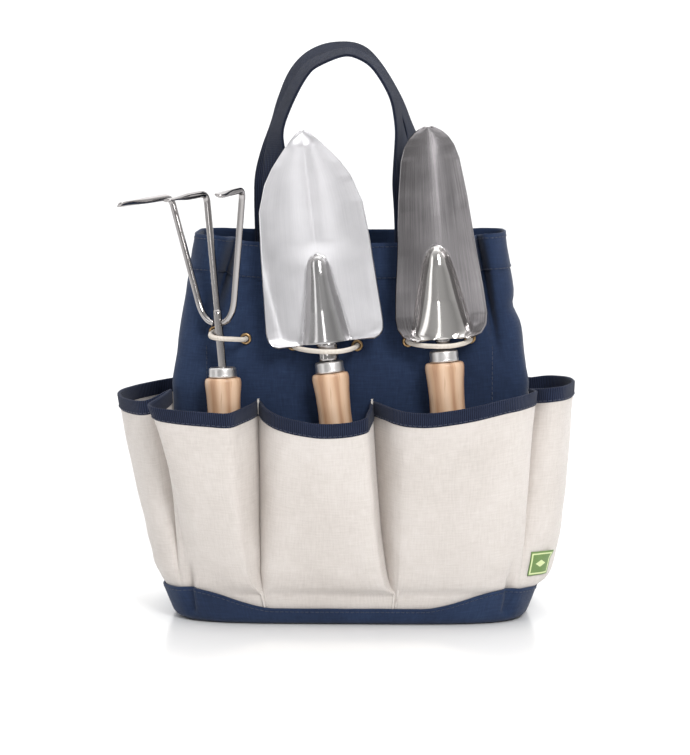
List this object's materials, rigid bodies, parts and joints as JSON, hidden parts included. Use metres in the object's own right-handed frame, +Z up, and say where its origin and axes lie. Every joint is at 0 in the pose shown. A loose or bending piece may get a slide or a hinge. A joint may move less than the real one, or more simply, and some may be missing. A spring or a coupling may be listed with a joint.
{
  "type": "garden tool bag",
  "caption": "Open canvas tote with a band of bellows pockets, two webbing handles, and hand tools with wooden handles held upright by elastic loops.",
  "frame": {"origin": "centre of the bag's flat underside, on the surface it stands on", "axes": "+Z up; the bag's front, with the three tools, faces -Y; +X is to the right seen from the front"},
  "size_m": [0.3437, 0.2168, 0.4267],
  "materials": {
    "navy_canvas": "plain weave canvas, navy, matt, topstitched in the same colour",
    "cream_canvas": "heavy natural canvas, fine plain weave, matt",
    "binding_tape": "ribbed woven binding tape, navy, folded over the pocket rims",
    "webbing": "ribbed woven webbing, dark navy",
    "stiffener_board": "plain moulded sheet",
    "eyelet_metal": "antique bronze plating",
    "elastic_cord": "braided cover, cream",
    "woven_label": "woven damask, green with a paler border",
    "brushed_steel": "satin brushed along the blade",
    "polished_steel": "polished",
    "turned_wood": "pale ash, clear satin varnish"
  },
  "bodies": {
    "bag": {"base_boot": "navy_canvas", "bottom_board": "stiffener_board", "front_panel": "navy_canvas", "back_panel": "navy_canvas", "gusset_left": "navy_canvas", "gusset_right": "navy_canvas", "pocket_front_left": "cream_canvas", "pocket_front_centre": "cream_canvas", "pocket_front_right": "cream_canvas", "pocket_back_left": "cream_canvas", "pocket_back_centre": "cream_canvas", "pocket_back_right": "cream_canvas", "pocket_side_left": "cream_canvas", "pocket_side_right": "cream_canvas", "binding_front_left": "binding_tape", "binding_front_centre": "binding_tape", "binding_front_right": "binding_tape", "binding_back_left": "binding_tape", "binding_back_centre": "binding_tape", "binding_back_right": "binding_tape", "binding_side_left": "binding_tape", "binding_side_right": "binding_tape", "eyelet_cultivator_left": "eyelet_metal", "eyelet_cultivator_right": "eyelet_metal", "eyelet_trowel_left": "eyelet_metal", "eyelet_trowel_right": "eyelet_metal", "eyelet_transplanter_left": "eyelet_metal", "eyelet_transplanter_right": "eyelet_metal", "elastic_cultivator": "elastic_cord", "elastic_trowel": "elastic_cord", "elastic_transplanter": "elastic_cord", "side_label": "woven_label", "front_strap_end_left": "webbing", "front_strap_end_right": "webbing", "rear_strap_end_left": "webbing", "rear_strap_end_right": "webbing"},
    "rear_handle": {"rear_handle_strap": "webbing"},
    "front_handle": {"front_handle_strap": "webbing"},
    "cultivator": {"cultivator_handle": "turned_wood", "cultivator_ferrule": "polished_steel", "cultivator_shank": "polished_steel", "cultivator_tine_left": "polished_steel", "cultivator_tine_right": "polished_steel"},
    "trowel": {"trowel_handle": "turned_wood", "trowel_ferrule": "polished_steel", "trowel_tang": "polished_steel", "trowel_blade": "brushed_steel"},
    "transplanter": {"transplanter_handle": "turned_wood", "transplanter_ferrule": "polished_steel", "transplanter_tang": "polished_steel", "transplanter_blade": "brushed_steel"}
  },
  "joints": [
    {"name": "cultivator_lift", "type": "slide", "parent": "bag", "child": "cultivator", "axis": [-0.0314, 0.0499, 0.9983], "range_m": [0, 0.16], "deforming": ["elastic_cultivator"]},
    {"name": "trowel_lift", "type": "slide", "parent": "bag", "child": "trowel", "axis": [-0.1149, 0.0496, 0.9921], "range_m": [0, 0.16], "deforming": ["elastic_trowel"]},
    {"name": "transplanter_lift", "type": "slide", "parent": "bag", "child": "transplanter", "axis": [-0.0732, 0.0498, 0.9961], "range_m": [0, 0.16], "deforming": ["elastic_transplanter"]},
    {"name": "rear_handle_swing", "type": "hinge", "parent": "bag", "child": "rear_handle", "pos_m": [0, 0.03895, 0.29], "axis": [-1, 0, 0], "range_deg": [0, 130]},
    {"name": "front_handle_swing", "type": "hinge", "parent": "bag", "child": "front_handle", "pos_m": [0, -0.03895, 0.29], "axis": [-1, 0, 0], "range_deg": [0, 12]}
  ]
}
